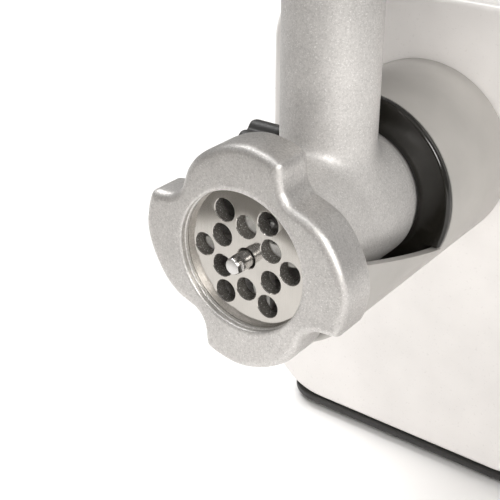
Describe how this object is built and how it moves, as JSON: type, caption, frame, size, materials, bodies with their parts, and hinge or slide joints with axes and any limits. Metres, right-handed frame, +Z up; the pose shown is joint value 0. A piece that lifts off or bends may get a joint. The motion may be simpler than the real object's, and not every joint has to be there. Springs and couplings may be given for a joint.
{
  "type": "electric meat grinder",
  "caption": "Geared electric meat grinder: cast head with lobed screw ring, perforated plate, knife and auger, feed tube with tray and pusher, motor housing with handle.",
  "frame": {"origin": "on the table, under the middle of the machine's length and width", "axes": "+Z up, the outlet and the grinding plate face -Y, +X is to the right when looking at the outlet"},
  "size_m": [0.19, 0.3086, 0.322],
  "materials": {
    "cast_alloy": "fine sand-cast satin",
    "plate_steel": "ground and polished",
    "steel": "machined",
    "tray_steel": "brushed",
    "light_grey_plastic": "satin moulded",
    "white_plastic": "satin moulded",
    "black_plastic": "gloss black",
    "rubber": "matt",
    "nylon": "moulded",
    "bronze": "machined",
    "board": "satin"
  },
  "bodies": {
    "housing": {"gear_nose": "light_grey_plastic", "cradle_liner": "light_grey_plastic", "socket_collar": "black_plastic", "left_shell": "white_plastic", "right_shell": "white_plastic", "front_panel": "white_plastic", "rear_cover": "black_plastic", "base_plate": "black_plastic", "foot_front_left": "rubber", "foot_front_right": "rubber", "foot_rear_left": "rubber", "foot_rear_right": "rubber", "base_screw_front_left": "steel", "base_screw_front_right": "steel", "base_screw_rear_left": "steel", "base_screw_rear_right": "steel", "carry_handle": "black_plastic", "rocker_bezel": "black_plastic", "switch_body": "black_plastic", "button_bezel": "black_plastic", "button_spring": "steel", "button_switch": "black_plastic", "cord_inlet": "rubber", "control_board": "board", "front_bush": "bronze", "gearbox_front_plate": "cast_alloy", "gearbox_rear_plate": "cast_alloy", "motor_stator": "steel", "motor_bracket": "steel", "brush_holder_left": "bronze", "brush_holder_right": "bronze"},
    "head": {"head_body": "cast_alloy", "plate_key": "steel", "grinding_plate": "plate_steel"},
    "ring": {"ring_nut": "cast_alloy"},
    "screw": {"auger": "cast_alloy", "auger_pin": "plate_steel", "auger_shank": "steel", "auger_washer": "nylon", "cross_knife": "steel"},
    "tray": {"hopper_tray": "tray_steel"},
    "plunger": {"pusher": "nylon", "pusher_cap": "black_plastic"},
    "output": {"output_shaft": "steel", "output_gear": "steel"},
    "idler_b": {"idler_b_pinion": "steel", "idler_b_gear": "nylon"},
    "idler_a": {"idler_a_pinion": "steel", "idler_a_gear": "nylon"},
    "rotor": {"motor_pinion": "steel", "motor_shaft": "steel", "armature": "steel", "commutator": "bronze", "cooling_fan": "nylon"},
    "lock": {"lock_stem": "steel", "lock_knob": "black_plastic"},
    "rocker": {"power_rocker": "black_plastic"},
    "button": {"reverse_button": "rubber"}
  },
  "joints": [
    {"name": "head_pull", "type": "slide", "parent": "housing", "child": "head", "axis": [0, -1, 0], "range_m": [0, 0.04]},
    {"name": "ring_unscrew", "type": "hinge", "parent": "head", "child": "ring", "pos_m": [0, -0.14695, 0.15], "axis": [0, -1, 0], "range_deg": [0, 360]},
    {"name": "auger_spin", "type": "hinge", "parent": "head", "child": "screw", "pos_m": [0, -0.14695, 0.15], "axis": [0, 1, 0], "continuous": true},
    {"name": "tray_lift", "type": "slide", "parent": "head", "child": "tray", "axis": [0, 0, 1], "range_m": [0, 0.03]},
    {"name": "pusher_slide", "type": "slide", "parent": "tray", "child": "plunger", "axis": [0, 0, 1], "range_m": [0, 0.07]},
    {"name": "output_spin", "type": "hinge", "parent": "housing", "child": "output", "pos_m": [0, -0.04, 0.15], "axis": [0, 1, 0], "continuous": true},
    {"name": "idler_b_spin", "type": "hinge", "parent": "housing", "child": "idler_b", "pos_m": [0.027, 0, 0.114], "axis": [0, 1, 0], "continuous": true},
    {"name": "idler_a_spin", "type": "hinge", "parent": "housing", "child": "idler_a", "pos_m": [-0.009, 0, 0.1035], "axis": [0, 1, 0], "continuous": true},
    {"name": "rotor_spin", "type": "hinge", "parent": "housing", "child": "rotor", "pos_m": [0.012, 0.05, 0.0755], "axis": [0, 1, 0], "continuous": true},
    {"name": "lock_turn", "type": "hinge", "parent": "housing", "child": "lock", "pos_m": [-0.04, -0.06795, 0.15], "axis": [-1, 0, 0], "range_deg": [0, 180]},
    {"name": "rocker_tip", "type": "hinge", "parent": "housing", "child": "rocker", "pos_m": [0.074, 0.02905, 0.14], "axis": [0, 0, 1], "range_deg": [0, 12]},
    {"name": "button_press", "type": "slide", "parent": "housing", "child": "button", "axis": [-1, 0, 0], "range_m": [0, 0.003], "stiffness_N_per_m": 300}
  ],
  "couplings": [
    {"joint": "auger_spin", "follows": "output_spin", "ratio": 1},
    {"joint": "idler_b_spin", "follows": "output_spin", "ratio": -4},
    {"joint": "idler_a_spin", "follows": "output_spin", "ratio": 16},
    {"joint": "rotor_spin", "follows": "output_spin", "ratio": -80}
  ]
}
